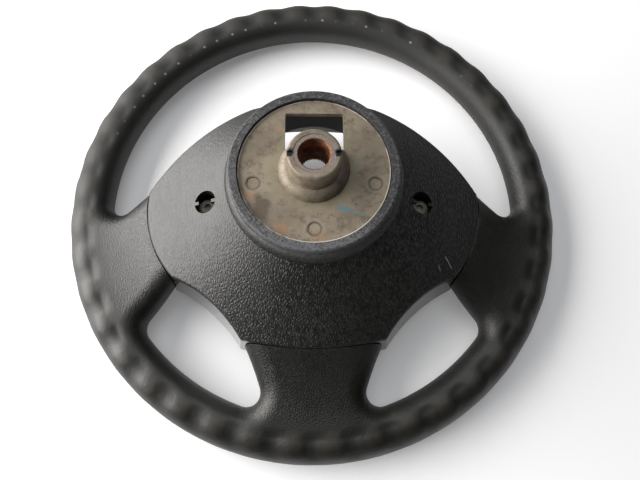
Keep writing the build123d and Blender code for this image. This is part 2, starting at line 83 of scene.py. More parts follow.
class Flow:
    """One output of a node, with arithmetic: each operator adds a Math node to its graph."""

    def __init__(self, graph: "Graph", socket: bpy.types.NodeSocket) -> None:
        """Keeps the graph and the socket."""
        self.graph = graph
        self.socket = socket

    def _math(self, operation: str, *terms: Any) -> "Flow":
        """Adds one Math node with the terms as its inputs, in order."""
        return self.graph.add("ShaderNodeMath", {"operation": operation}, dict(enumerate(terms)))

    def __add__(self, other: Any) -> "Flow":
        """This value plus another."""
        return self._math("ADD", self, other)

    def __radd__(self, other: Any) -> "Flow":
        """Another value plus this one."""
        return self._math("ADD", other, self)

    def __sub__(self, other: Any) -> "Flow":
        """This value less another."""
        return self._math("SUBTRACT", self, other)

    def __rsub__(self, other: Any) -> "Flow":
        """Another value less this one."""
        return self._math("SUBTRACT", other, self)

    def __mul__(self, other: Any) -> "Flow":
        """This value times another."""
        return self._math("MULTIPLY", self, other)

    def __rmul__(self, other: Any) -> "Flow":
        """Another value times this one."""
        return self._math("MULTIPLY", other, self)

    def __truediv__(self, other: Any) -> "Flow":
        """This value divided by another."""
        return self._math("DIVIDE", self, other)

    def __rtruediv__(self, other: Any) -> "Flow":
        """Another value divided by this one."""
        return self._math("DIVIDE", other, self)

    def larger(self, other: Any) -> "Flow":
        """The larger of this value and another."""
        return self._math("MAXIMUM", self, other)

    def size(self) -> "Flow":
        """This value without its sign."""
        return self._math("ABSOLUTE", self)

    def ramp(self, low: float, high: float) -> "Flow":
        """Smooth step from 0 at low to 1 at high, or falling where low is the larger."""
        limits = {"Value": self, "From Min": low, "From Max": high, "To Min": 0.0, "To Max": 1.0}
        return self.graph.add("ShaderNodeMapRange", {"interpolation_type": "SMOOTHSTEP"}, limits)


class Graph:
    """Node tree of one material."""

    def __init__(self, tree: bpy.types.NodeTree) -> None:
        """Empties the tree and puts in its object coordinates.

        Args:
            tree: Node tree of the material.
        """
        tree.nodes.clear()
        self.tree = tree
        self.place = self.add("ShaderNodeTexCoord", output="Object")

    def add(
        self,
        kind: str,
        settings: Optional[dict[str, Any]] = None,
        inputs: Optional[dict[Any, Any]] = None,
        output: Any = 0,
    ) -> Flow:
        """Adds any node.

        Args:
            kind: Type of the node.
            settings: The node's own properties, which are set first.
            inputs: Values or flows, by the name or number of the input.
            output: Name or number of the output to carry on with.

        Returns:
            The chosen output.
        """
        node = self.tree.nodes.new(kind)
        for key, value in (settings or {}).items():
            setattr(node, key, value)
        for key, value in (inputs or {}).items():
            if isinstance(value, Flow):
                self.tree.links.new(value.socket, node.inputs[key])
            else:
                node.inputs[key].default_value = value
        return Flow(self, node.outputs[output])

    def vector(self, operation: str, *terms: Any, output: str = "Vector") -> Flow:
        """Adds one Vector Math node with the terms as its inputs, in order."""
        return self.add("ShaderNodeVectorMath", {"operation": operation}, dict(enumerate(terms)), output)

    def mix(self, share: Any, first: Any, second: Any) -> Flow:
        """Blend of two colours: a share of 0 gives the first, 1 the second."""
        return self.add("ShaderNodeMix", {"data_type": "RGBA"}, {0: share, 6: first, 7: second}, 2)

    def stretched(self, scale: Place) -> Flow:
        """Object coordinates stretched along the axes."""
        return self.vector("MULTIPLY", self.place, scale)

    def flat(self) -> Flow:
        """Object coordinates in plan, in millimetres."""
        return self.stretched((1 / MM, 1 / MM, 0.0))

    def height(self) -> Flow:
        """Height over the rest plane, in millimetres."""
        return self.add("ShaderNodeSeparateXYZ", inputs={0: self.place}, output="Z") / MM

    def reach(self, x: float, y: float) -> Flow:
        """Distance in plan from a point, in millimetres."""
        return self.vector("DISTANCE", self.flat(), (x, y, 0.0), output="Value")

    def along(self, x: float, y: float) -> Flow:
        """Distance in plan along a direction, in millimetres."""
        return self.vector("DOT_PRODUCT", self.flat(), (x, y, 0.0), output="Value")

    def own(self, trace: Trace) -> Flow:
        """A number that the mesh carries at its vertices."""
        return self.add("ShaderNodeAttribute", {"attribute_name": trace.value}, output="Fac")

    def noise(self, size: float, detail: float = 3.0, rough: float = 0.5) -> Flow:
        """Cloudy noise from 0 to 1: width of its largest clouds in metres, finer layers, their weight."""
        values = {"Vector": self.place, "Scale": 1.0 / size, "Detail": detail, "Roughness": rough}
        return self.add("ShaderNodeTexNoise", inputs=values)

    def blot(self, x: float, y: float, radius: float, ragged: float = 0.5) -> Flow:
        """Round patch, 1 inside and 0 outside, whose edge wanders by a share of its radius in millimetres."""
        wander = (self.noise(radius * 0.9 * MM) - 0.5) * (4.0 * ragged * radius)
        return (self.reach(x, y) + wander).ramp(radius * 1.15, radius * 0.5)

    def streak(self, begin: Point, end: Point, width: float, ragged: float) -> Flow:
        """Straight mark with ragged edges: 1 near the line between its ends and 0 elsewhere.

        Args:
            begin: One end in plan, in millimetres.
            end: Other end.
            width: Half width in millimetres.
            ragged: How far the edges wander in millimetres.

        Returns:
            1 on the mark and 0 outside.
        """
        length = hypot(end[0] - begin[0], end[1] - begin[1])
        x, y = (end[0] - begin[0]) / length, (end[1] - begin[1]) / length
        wander = (self.noise(0.003) - 0.5) * (2.0 * ragged)
        run = self.along(x, y) - (begin[0] * x + begin[1] * y) + wander
        side = self.along(-y, x) - (begin[1] * x - begin[0] * y) + wander
        ends = run.ramp(-width, width) * run.ramp(length + width, length - width)
        return side.size().ramp(width, width * 0.5) * ends

    def pebbles(self, cell: float, wander: float, place: Optional[Flow] = None) -> Flow:
        """Moulded leather grain: rounded cells with narrow creases between them.

        Args:
            cell: Width of a cell in metres.
            wander: How far the cells are pushed about, as a share of a cell.
            place: Coordinates, or None for the object's.

        Returns:
            Height from 0 in a crease to 1 on a cell.
        """
        spot = place or self.place
        clouds = {"Vector": spot, "Scale": 0.35 / cell, "Detail": 2.0}
        push = self.add("ShaderNodeTexNoise", inputs=clouds, output="Color")
        centred = self.vector("SUBTRACT", push, (0.5, 0.5, 0.5))
        moved = self.vector("MULTIPLY_ADD", centred, (wander * cell,) * 3, spot)
        cells = {"Vector": moved, "Scale": 1.0 / cell}
        edge = self.add("ShaderNodeTexVoronoi", {"feature": "DISTANCE_TO_EDGE"}, cells, "Distance")
        return edge.ramp(0.0, 0.32)

    def bump(self, height: Flow, depth: float, strength: float) -> Flow:
        """Normal that follows a height from 0 to 1, for a relief of a real depth in metres."""
        return self.add("ShaderNodeBump", inputs={"Strength": strength, "Distance": depth, "Height": height})

    def surface(self, sockets: dict[str, Any]) -> None:
        """Puts in the shader and links it to the material's output.

        Args:
            sockets: Values or flows of the shader's inputs.
        """
        shader = self.add("ShaderNodeBsdfPrincipled", inputs=sockets)
        output = self.tree.nodes.new("ShaderNodeOutputMaterial")
        self.tree.links.new(shader.socket, output.inputs["Surface"])


@dataclass(frozen=True)
class Cone:
    """Back of the hub and the spokes: a cone round the column axis. Sizes in millimetres."""

    radius: float = 62.0
    height: float = 80.0
    slope: float = radians(30.2)

    def at(self, reach: Any) -> Any:
        """Height at a distance from the axis, a number, an array or a flow."""
        return self.height - (reach - self.radius) * tan(self.slope)


class Finish:
    """A surface finish that turns into one node material."""

    name = "finish"

    def sockets(self, graph: Graph) -> dict[str, Any]:
        """Values of the shader's inputs."""
        raise NotImplementedError

    def material(self) -> bpy.types.Material:
        """Makes the material.

        Returns:
            The material, with its nodes.
        """
        material = bpy.data.materials.new(self.name)
        material.use_nodes = True
        graph = Graph(material.node_tree)
        graph.surface(self.sockets(graph))
        return material


@dataclass(frozen=True)
class FoamFinish(Finish):
    """Skinned foam of the grip: satin and worn shiny on the rim, grained on the spokes.

    Sizes of clouds and grain are in metres, places round the rim's section in degrees.
    """

    name: str = "grip foam"
    dark: Colour = (0.0034, 0.0038, 0.0020, 1.0)
    pale: Colour = (0.0085, 0.0082, 0.0054, 1.0)
    # Paler ridges: wear and a painted highlight.
    worn: Colour = (0.0165, 0.0150, 0.0110, 1.0)
    # Pale specks: painted glints, partly worn spots.
    glint_and_wear_speck: Colour = (0.34, 0.33, 0.31, 1.0)
    cloud_size: float = 0.035
    fine_size: float = 0.004
    tooth_size: float = 0.0007
    grain_cell: float = 0.0016
    grain_depth: float = 0.00022
    wear_and_highlight_rise: Point = (15.0, 65.0)
    wear_and_highlight_fall: Point = (126.0, 98.0)
    speck_girth: float = 116.0
    speck_patch: float = 0.016

    def glint_and_wear_specks(self, graph: Graph, upper: Flow) -> Flow:
        """Painted glints, partly worn spots: pale specks in pairs beside the crest of the upper rim.

        Args:
            graph: Graph of the material.
            upper: Distance towards the top of the wheel, in millimetres.

        Returns:
            1 on a speck and 0 elsewhere.
        """
        line = (graph.own(Trace.GIRTH) - self.speck_girth).size().ramp(4.5, 1.0)
        ridge = (graph.own(Trace.RIPPLE) * -1.0).ramp(-0.2, 0.1)
        pairs = (graph.own(Trace.FINE_RIPPLE) * -1.0).ramp(0.55, 0.95) * ridge
        patches = graph.noise(self.speck_patch, 1.0).ramp(0.4, 0.55)
        return line * pairs * upper.ramp(60.0, 130.0) * patches * graph.own(Trace.ON_RIM)

    def sockets(self, graph: Graph) -> dict[str, Any]:
        """Cloudy colour, ridges paler (wear and painted highlight), grain off the rim, duller at top and in
        waves.

        Args:
            graph: Graph of the material.

        Returns:
            Values of the shader's inputs.
        """
        rim, girth, ripple = (graph.own(trace) for trace in (Trace.ON_RIM, Trace.GIRTH, Trace.RIPPLE))
        upper = graph.along(-0.2, 0.98)
        clouds = graph.noise(self.cloud_size, 4.0, 0.6)
        fine = graph.noise(self.fine_size, 3.0, 0.6)
        colour = graph.mix((clouds * 0.7 + fine * 0.3).ramp(0.35, 0.7), self.dark, self.pale)
        grip_side = girth.ramp(*self.wear_and_highlight_rise) * girth.ramp(*self.wear_and_highlight_fall)
        ridge = (ripple * -1.0).ramp(-0.4, 0.9) * grip_side * clouds.ramp(0.22, 0.58) * (0.4 + fine)
        # Paler ridges: wear and a painted highlight against the darker dips.
        colour = graph.mix(ridge, colour, self.worn)
        dull = rim * upper.ramp(-40.0, 90.0) * 0.2 + ripple.ramp(0.0, 1.0) * grip_side * 0.1
        grain = graph.pebbles(self.grain_cell, 0.8) * (1.0 - rim * 0.82)
        relief = grain + graph.noise(self.tooth_size, 2.0) * 0.25 + fine * rim * 1.6
        return {
            # Pale specks: painted glints, partly worn spots.
            "Base Color": graph.mix(self.glint_and_wear_specks(graph, upper) * 0.75, colour, self.glint_and_wear_speck),
            "Roughness": 0.47 + (clouds - 0.5) * 0.16 + dull,
            "Specular IOR Level": 0.65,
            "Normal": graph.bump(relief, self.grain_depth, 0.6),
        }


@dataclass(frozen=True)
class CoverFinish(Finish):
    """Moulded black plastic of the rear cover: leather grain, smooth side walls, a speckled collar.

    Sizes of clouds and grain are in metres, places on the cover in millimetres.
    """

    name: str = "cover plastic"
    dark: Colour = (0.0018, 0.0022, 0.0012, 1.0)
    pale: Colour = (0.0150, 0.0150, 0.0120, 1.0)
    collar_dark: Colour = (0.014, 0.014, 0.0155, 1.0)
    collar_pale: Colour = (0.105, 0.103, 0.111, 1.0)
    scratch: Colour = (0.5, 0.5, 0.48, 1.0)
    cone: Cone = Cone()
    collar_foot: float = 87.0
    wall_depth: Point = (2.0, 4.5)
    wall_reach: Point = (84.5, 88.0)
    long_scratch: tuple[Point, Point] = ((92.7, -49.3), (97.9, -56.7))
    short_scratch: tuple[Point, Point] = ((87.1, -55.9), (89.0, -59.3))
    cloud_size: float = 0.03
    speckle_size: float = 0.0016
    tooth_size: float = 0.0006
    grain_cell: float = 0.0017
    grain_stretch: Place = (1.0, 0.4, 1.0)
    grain_depth: float = 0.00020

    def sockets(self, graph: Graph) -> dict[str, Any]:
        """Grain on the cone, less of it on the walls under the cone, a speckled collar and two scratches.

        The grain is fresher at the lower right, the walls are shinier on the left, the collar painted lighter
        below.

        Args:
            graph: Graph of the material.

        Returns:
            Values of the shader's inputs.
        """
        radius, height = graph.reach(0.0, 0.0), graph.height()
        wall = (self.cone.at(radius) - height).ramp(*self.wall_depth) * radius.ramp(*self.wall_reach)
        collar = height.ramp(self.collar_foot - 2.0, self.collar_foot + 1.0)
        grain = graph.pebbles(self.grain_cell, 1.3, graph.stretched(self.grain_stretch))
        clouds = graph.noise(self.cloud_size, 4.0, 0.6)
        # Painted light: more pale speckle towards the collar's lower side, which catches the light.
        painted_light_low_side = graph.along(0.0, -1.0).ramp(25.0, 60.0) * 0.13
        speckle = (graph.noise(self.speckle_size, 3.0, 0.75) + painted_light_low_side).ramp(0.42, 0.68)
        colour = graph.mix((clouds * 0.4 + grain * 0.6).ramp(0.25, 0.8), self.dark, self.pale)
        colour = graph.mix(collar, colour, graph.mix(speckle, self.collar_dark, self.collar_pale))
        long_mark = graph.streak(*self.long_scratch, 0.45, 0.7)
        short_mark = graph.streak(*self.short_scratch, 0.5, 0.7)
        fresh = 0.6 + graph.along(0.5, -0.87).ramp(-30.0, 80.0)
        relief = grain * fresh * (1.0 - (wall * 0.85).larger(collar)) + speckle * collar
        return {
            "Base Color": graph.mix(long_mark * 0.6 + short_mark * 0.35, colour, self.scratch),
            "Roughness": 0.46 + (clouds - 0.5) * 0.14 - wall * 0.24 + collar * 0.06,
            "Specular IOR Level": 0.65,
            "Coat Weight": wall * graph.along(-1.0, 0.0).ramp(0.0, 50.0),
            "Normal": graph.bump(relief + graph.noise(self.tooth_size, 2.0) * 0.2, self.grain_depth, 0.65),
        }


def painted_notch_shade(graph: Graph, reach: float) -> Flow:
    """Painted shade in the two notches of the hub's end, at a reach from the axis in millimetres."""
    return graph.blot(reach, 1.0, 3.0, 0.2) + graph.blot(-reach, 1.0, 3.0, 0.2)


@dataclass(frozen=True)
class CastingFinish(Finish):
    """Dull light-alloy casting, stained beige and brown, with painted shade inside the hub and a dab of blue
    paint.

    Sizes of clouds are in metres, places on the hub in millimetres.
    """

    name: str = "alloy casting"
    base: Colour = (0.186, 0.152, 0.108, 1.0)
    pale: Colour = (0.278, 0.232, 0.170, 1.0)
    stain: Colour = (0.082, 0.060, 0.036, 1.0)
    rust: Colour = (0.33, 0.175, 0.085, 1.0)
    olive: Colour = (0.215, 0.195, 0.115, 1.0)
    bare: Colour = (0.62, 0.56, 0.48, 1.0)
    paint: Colour = (0.085, 0.215, 0.26, 1.0)
    # Near-black painted shade for the hub's inside and its two notches.
    painted_shade: Colour = (0.006, 0.0055, 0.0045, 1.0)
    cloud_size: float = 0.022
    spot_size: float = 0.006
    sand_size: float = 0.0011
    sand_depth: float = 0.00016
    plate_radius: float = 50.3
    plate_front: float = 90.0
    plate_back: float = 94.0
    boss_foot: float = 23.7
    notch: float = 15.2
    notch_height: float = 113.0
    marks: tuple[Point, ...] = ((-40.0, -10.0), (40.0, -10.0), (0.0, -41.0))
    mark_edge: float = 4.4
    # Radius of the painted highlight ring round each mark.
    highlight_ring: float = 6.3
    rust_spots: tuple[Place, ...] = (
        (-41.9, -18.7, 3.6),
        (-21.0, -40.5, 5.0),
        (-23.0, 29.1, 3.0),
        (3.0, -47.3, 5.0),
    )
    brown_spot: Place = (-35.1, -28.7, 9.5)
    smear: tuple[Point, Point, Point] = ((15.6, -26.6), (23.0, -28.6), (33.2, -31.8))

    def stained(self, graph: Graph, colour: Flow) -> Flow:
        """Olive round the boss, rust spots and one brown stain.

        Args:
            graph: Graph of the material.
            colour: Colour under the stains.

        Returns:
            The stained colour.
        """
        ring = (graph.reach(0.0, 0.0) - self.boss_foot - 3.0).size().ramp(6.0, 1.0)
        colour = graph.mix(ring * 0.4, colour, self.olive)
        for x, y, size in self.rust_spots:
            colour = graph.mix(graph.blot(x, y, size) * 0.5, colour, self.rust)
        return graph.mix(graph.blot(*self.brown_spot) * 0.8, colour, self.stain)

    def marked(self, graph: Graph, colour: Flow) -> Flow:
        """A darker edge to each round mark, a painted highlight ring round it, and a smear of paint.

        Args:
            graph: Graph of the material.
            colour: Colour under the marks.

        Returns:
            The marked colour.
        """
        for x, y in self.marks:
            far = graph.reach(x, y)
            colour = graph.mix((far - self.mark_edge).size().ramp(1.1, 0.2) * 0.65, colour, self.stain)
            # Painted highlight: a pale ring round each mark stands in for light on a raised rim.
            colour = graph.mix((far - self.highlight_ring).size().ramp(1.0, 0.2) * 0.35, colour, self.pale)
        thick = graph.streak(*self.smear[:2], 2.3, 1.2)
        thin = graph.streak(*self.smear[1:], 1.1, 1.2)
        on_back = graph.height().ramp(self.plate_back - 1.0, self.plate_back - 0.4)
        return graph.mix((thick * 0.75 + thin * 0.5) * on_back, colour, self.paint)

    def sockets(self, graph: Graph) -> dict[str, Any]:
        """Cloudy stains over a sand-cast roughness, a bare edge round the plate, painted shade inside the
        hub.

        Args:
            graph: Graph of the material.

        Returns:
            Values of the shader's inputs.
        """
        radius, height = graph.reach(0.0, 0.0), graph.height()
        clouds = graph.noise(self.cloud_size, 5.0, 0.62)
        spots = graph.noise(self.spot_size, 4.0, 0.6)
        sand = graph.noise(self.sand_size, 3.0, 0.6)
        colour = graph.mix(clouds.ramp(0.35, 0.7), self.base, self.pale)
        colour = graph.mix((spots * 0.6 + sand * 0.4).ramp(0.46, 0.66) * 0.7, colour, self.stain)
        colour = self.marked(graph, self.stained(graph, colour))
        edge = radius.ramp(self.plate_radius - 0.9, self.plate_radius - 0.3) * clouds.ramp(0.36, 0.5)
        on_edge = height.ramp(self.plate_back - 1.8, self.plate_back - 0.8)
        colour = graph.mix(edge * on_edge, colour, self.bare)
        # Painted shade in the two notches of the hub's end.
        on_end = height.ramp(self.notch_height - 1.0, self.notch_height + 1.0)
        colour = graph.mix(painted_notch_shade(graph, self.notch) * on_end, colour, self.painted_shade)
        # Painted shade: below the plate's front, the hub's inside is coloured near black.
        under = height.ramp(self.plate_front + 1.5, self.plate_front - 1.0)
        return {
            "Base Color": graph.mix(under, colour, self.painted_shade),
            "Metallic": 0.15,
            "Roughness": 0.5 + (clouds - 0.5) * 0.25,
            "Normal": graph.bump(sand * 0.6 + spots * 0.4, self.sand_depth, 0.7),
        }


@dataclass(frozen=True)
class RustFinish(Finish):
    """Steel of the bush: brown and orange rust in the bore, a grey worn end.

    Sizes of clouds are in metres, places on the bush in millimetres.
    """

    name: str = "rusty steel"
    end: Colour = (0.215, 0.175, 0.155, 1.0)
    chip: Colour = (0.46, 0.42, 0.41, 1.0)
    brown: Colour = (0.085, 0.034, 0.016, 1.0)
    orange: Colour = (0.34, 0.125, 0.04, 1.0)
    # Painted shade in the two notches.
    notch_shade: Colour = (0.03, 0.027, 0.025, 1.0)
    cloud_size: float = 0.007
    fine_size: float = 0.0015
    pit_depth: float = 0.00025
    bore_radius: float = 10.7
    notch: float = 14.9

    def sockets(self, graph: Graph) -> dict[str, Any]:
        """Rust inside the bore, worn steel with chips on the end, painted shade in the two notches.

        Args:
            graph: Graph of the material.

        Returns:
            Values of the shader's inputs.
        """
        clouds = graph.noise(self.cloud_size, 5.0, 0.65)
        fine = graph.noise(self.fine_size, 4.0, 0.65)
        rust = graph.mix((clouds * 0.6 + fine * 0.4).ramp(0.42, 0.62), self.brown, self.orange)
        worn = graph.mix(fine.ramp(0.55, 0.72), self.end, self.chip)
        bare = graph.reach(0.0, 0.0).ramp(self.bore_radius - 0.3, self.bore_radius + 0.3)
        return {
            "Base Color": graph.mix(painted_notch_shade(graph, self.notch), graph.mix(bare, rust, worn), self.notch_shade),
            "Metallic": bare * 0.3,
            "Roughness": 0.8 - bare * 0.3,
            "Normal": graph.bump(fine, self.pit_depth, 0.8),
        }


@dataclass(frozen=True)
class ZincFinish(Finish):
    """Dull yellowish zinc plate on bolts and screws. Sizes in metres."""

    name: str = "dull zinc"
    base: Colour = (0.21, 0.20, 0.15, 1.0)
    dull: Colour = (0.09, 0.085, 0.065, 1.0)
    cloud_size: float = 0.003
    tooth_size: float = 0.0006
    tooth_depth: float = 0.00006

    def sockets(self, graph: Graph) -> dict[str, Any]:
        """Cloudy plate with a fine tooth.

        Args:
            graph: Graph of the material.

        Returns:
            Values of the shader's inputs.
        """
        clouds = graph.noise(self.cloud_size, 4.0, 0.6)
        return {
            "Base Color": graph.mix(clouds.ramp(0.35, 0.65), self.base, self.dull),
            "Metallic": 0.25,
            "Roughness": 0.38 + clouds * 0.2,
            "Normal": graph.bump(graph.noise(self.tooth_size), self.tooth_depth, 0.6),
        }


@dataclass(frozen=True)
class FloorFinish(Finish):
    """Plain pale floor. Distances from the wheel's axis in millimetres."""

    name: str = "pale floor"
    white: Colour = (0.93, 0.93, 0.94, 1.0)
    dark: Colour = (0.0, 0.0, 0.0, 1.0)
    glow: float = 0.17
    glow_fall: Point = (450.0, 900.0)

    def sockets(self, graph: Graph) -> dict[str, Any]:
        """One even pale colour with a faint glow, as of a light table, that ends well outside the wheel.

        Args:
            graph: Graph of the material.

        Returns:
            Values of the shader's inputs.
        """
        shine = graph.mix(graph.reach(0.0, 0.0).ramp(*self.glow_fall), self.white, self.dark)
        return {
            "Base Color": self.white,
            "Roughness": 0.7,
            "Emission Color": shine,
            "Emission Strength": self.glow,
        }


def circle_through(first: Point, middle: Point, last: Point) -> tuple[Array, float]:
    """Circle through three points in plan: its centre is equally far from all of them.

    Args:
        first: One point.
        middle: Another point.
        last: A third point.

    Returns:
        The centre and the radius.
    """
    a, b, c = (np.array(point, float) for point in (first, middle, last))
    sides = 2 * np.array([b - a, c - a])
    squares = np.array([b @ b - a @ a, c @ c - a @ a])
    centre = np.linalg.solve(sides, squares)
    return centre, float(np.linalg.norm(a - centre))


def fan(angle: Array) -> Array:
    """Unit vectors in plan at the given angles."""
    return np.stack([np.cos(angle), np.sin(angle)], axis=-1)


def polar(plan: Array) -> Array:
    """Radius and angle of points in plan."""
    return np.stack([np.hypot(plan[..., 0], plan[..., 1]), np.arctan2(plan[..., 1], plan[..., 0])], axis=-1)


def mirrored(grid: Array) -> Array:
    """A grid on the other side of the wheel."""
    return grid * np.array([-1.0, 1.0, 1.0])


def smooth(low: float, high: float, values: Array) -> Array:
    """Smooth step from 0 at low to 1 at high: three times the square of the share less twice its cube."""
    share = np.clip((values - low) / (high - low), 0, 1)
    return share * share * (3 - 2 * share)


def coons(low: Array, high: Array, left: Array, right: Array) -> Array:
    """Surface between four border curves: the two ruled surfaces less the one through the corners.

    The blend along the first parameter starts and ends level, so the surface leaves the borders smoothly.

    Args:
        low: Border where the second parameter is 0, along the first.
        high: Border where the second parameter is 1, along the first.
        left: Border where the first parameter is 0, along the second.
        right: Border where the first parameter is 1, along the second.

    Returns:
        Grid of points, first parameter by second.
    """
    u = smooth(0.0, 1.0, np.linspace(0, 1, len(low)))[:, None, None]
    v = np.linspace(0, 1, len(left))[None, :, None]
    ruled = (1 - v) * low[:, None] + v * high[:, None] + (1 - u) * left[None] + u * right[None]
    corners = (1 - u) * ((1 - v) * low[0] + v * high[0]) + u * ((1 - v) * low[-1] + v * high[-1])
    return ruled - corners


@dataclass(frozen=True)
class WallCut:
    """Round stretch of the cover's drafted wall that a spoke ends at, with the gap left there."""

    first: Point
    middle: Point
    last: Point
    draft: float = tan(radians(11.0))
    gap: float = 0.6

    def flipped(self) -> "WallCut":
        """The same stretch on the other side of the wheel."""
        points = ((-x, y) for x, y in (self.first, self.middle, self.last))
        return WallCut(*points, self.draft, self.gap)

    def circle(self) -> tuple[Array, float]:
        """Centre and radius in the rest plane, gap included."""
        centre, radius = circle_through(self.first, self.middle, self.last)
        return centre, radius + self.gap

    def outside(self, plan: Array, height: Array) -> Array:
        """Distance of points outside the cut: the plan distance less the radius at that height."""
        centre, radius = self.circle()
        return np.linalg.norm(plan - centre, axis=-1) - (radius - height * self.draft)


@dataclass(frozen=True)
class LineEdge:
    """Straight edge of a spoke, from the hub out to the rim."""

    start: Point
    angle: float
    foam_on: int

    def flipped(self) -> "LineEdge":
        """The same edge on the other side of the wheel."""
        return LineEdge((-self.start[0], self.start[1]), pi - self.angle, -self.foam_on)

    def at(self, way: Array) -> tuple[Array, Array]:
        """Points along the edge: its start plus the distance times its direction.

        Args:
            way: Distances along the edge.

        Returns:
            The points, and the normals into the foam.
        """
        along = fan(np.array(self.angle))
        normal = self.foam_on * np.array([along[1], -along[0]])
        points = np.array(self.start) + np.asarray(way)[..., None] * along
        return points, np.broadcast_to(normal, points.shape)

    def corner(self, ring: float, radius: float) -> tuple[float, Array]:
        """Where a round corner between this edge and a ring begins.

        The corner's centre is one radius off the line, on the open side, and one radius inside the ring.

        Args:
            ring: Radius of the ring round the origin.
            radius: Radius of the corner.

        Returns:
            Distance along the edge, and the corner's centre.
        """
        start, normal = (values[0] for values in self.at(np.zeros(1)))
        along = fan(np.array(self.angle))
        base = start - radius * normal
        half = base @ along
        way = -half + sqrt(half * half - base @ base + (ring - radius) ** 2)
        return way, base + way * along


@dataclass(frozen=True)
class ArcEdge:
    """Hollow edge of a spoke through three points, from the hub out to the rim, open on its left."""

    start: Point
    middle: Point
    last: Point

    def circle(self) -> tuple[Array, float, float]:
        """Circle that the edge lies on.

        Returns:
            Centre, radius and angle of the start.
        """
        centre, radius = circle_through(self.start, self.middle, self.last)
        offset = np.array(self.start) - centre
        return centre, radius, atan2(offset[1], offset[0])

    def at(self, way: Array) -> tuple[Array, Array]:
        """Points along the edge: on its circle, turned by the distance over the radius.

        Args:
            way: Distances along the edge.

        Returns:
            The points, and the normals into the foam.
        """
        centre, radius, begin = self.circle()
        normal = fan(begin + np.asarray(way) / radius)
        return centre + radius * normal, normal

    def corner(self, ring: float, radius: float) -> tuple[float, Array]:
        """Where a round corner between this edge and a ring begins.

        The corner's centre is one radius inside the edge's circle and one radius inside the ring.

        Args:
            ring: Radius of the ring round the origin.
            radius: Radius of the corner.

        Returns:
            Distance along the edge, and the corner's centre.
        """
        centre, big, begin = self.circle()
        reach, far = ring - radius, big - radius
        gap = np.linalg.norm(centre)
        along = (reach**2 - far**2 + gap**2) / (2 * gap)
        unit = centre / gap
        side = np.array([unit[1], -unit[0]])
        spots = [unit * along + sign * side * sqrt(reach**2 - along**2) for sign in (-1, 1)]
        spot = min(spots, key=lambda place: place[1])
        offset = spot - centre
        return ((atan2(offset[1], offset[0]) - begin) % (2 * pi)) * big, spot


Edge = LineEdge | ArcEdge


@dataclass(frozen=True)
class GapBorder:
    """Border of the foam round one gap: its grid, its runs beside both spokes and the rim's angles."""

    grid: Array
    first: Array
    last: Array
    rim: Array


@dataclass
class MeshKit:
    """Gathers grids of points and welds them into one closed mesh."""

    name: str
    grids: list[Array] = field(default_factory=list)

    def put(self, *grids: Array) -> None:
        """Adds grids of points in millimetres."""
        self.grids.extend(grids)

    def mesh(self) -> bpy.types.Mesh:
        """Puts the grids into one mesh, welded, with faces that point outwards.

        Returns:
            The mesh, in metres.
        """
        points, quads, start = [], [], 0
        for grid in self.grids:
            rows, columns = grid.shape[:2]
            number = start + np.arange(rows * columns).reshape(rows, columns)
            corner = (number[:-1, :-1], number[:-1, 1:], number[1:, 1:], number[1:, :-1])
            quads.append(np.stack(corner, axis=-1).reshape(-1, 4))
            points.append(grid.reshape(-1, 3))
            start += rows * columns
        mesh = bpy.data.meshes.new(self.name)
        mesh.from_pydata(np.concatenate(points) * MM, [], np.concatenate(quads).tolist())
        work = bmesh.new()
        work.from_mesh(mesh)
        bmesh.ops.remove_doubles(work, verts=work.verts, dist=WELD * MM)
        bmesh.ops.recalc_face_normals(work, faces=work.faces)
        work.to_mesh(mesh)
        work.free()
        mesh.shade_smooth()
        mesh.set_sharp_from_angle(angle=CREASE)
        return mesh


def coordinates(mesh: bpy.types.Mesh) -> Array:
    """Vertex places of a mesh.

    Args:
        mesh: The mesh, in metres.

    Returns:
        One row for each vertex, in millimetres.
    """
    flat = np.empty(len(mesh.vertices) * 3)
    mesh.vertices.foreach_get("co", flat)
    return flat.reshape(-1, 3) / MM


def carry(mesh: bpy.types.Mesh, trace: Trace, values: Array) -> None:
    """Stores one number per vertex for the material to read."""
    store = mesh.attributes.new(trace.value, "FLOAT", "POINT")
    store.data.foreach_set("value", values.astype(np.float32))


def put_in(mesh: bpy.types.Mesh, finish: Finish) -> bpy.types.Object:
    """Puts a new mesh into the scene on the wheel's one body.

    Args:
        mesh: The mesh, with its place in its vertices.
        finish: Finish of the piece.

    Returns:
        The new object.
    """
    mesh.materials.append(finish.material())
    piece = bpy.data.objects.new(mesh.name, mesh)
    bpy.context.scene.collection.objects.link(piece)
    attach(piece, "root")
    return piece


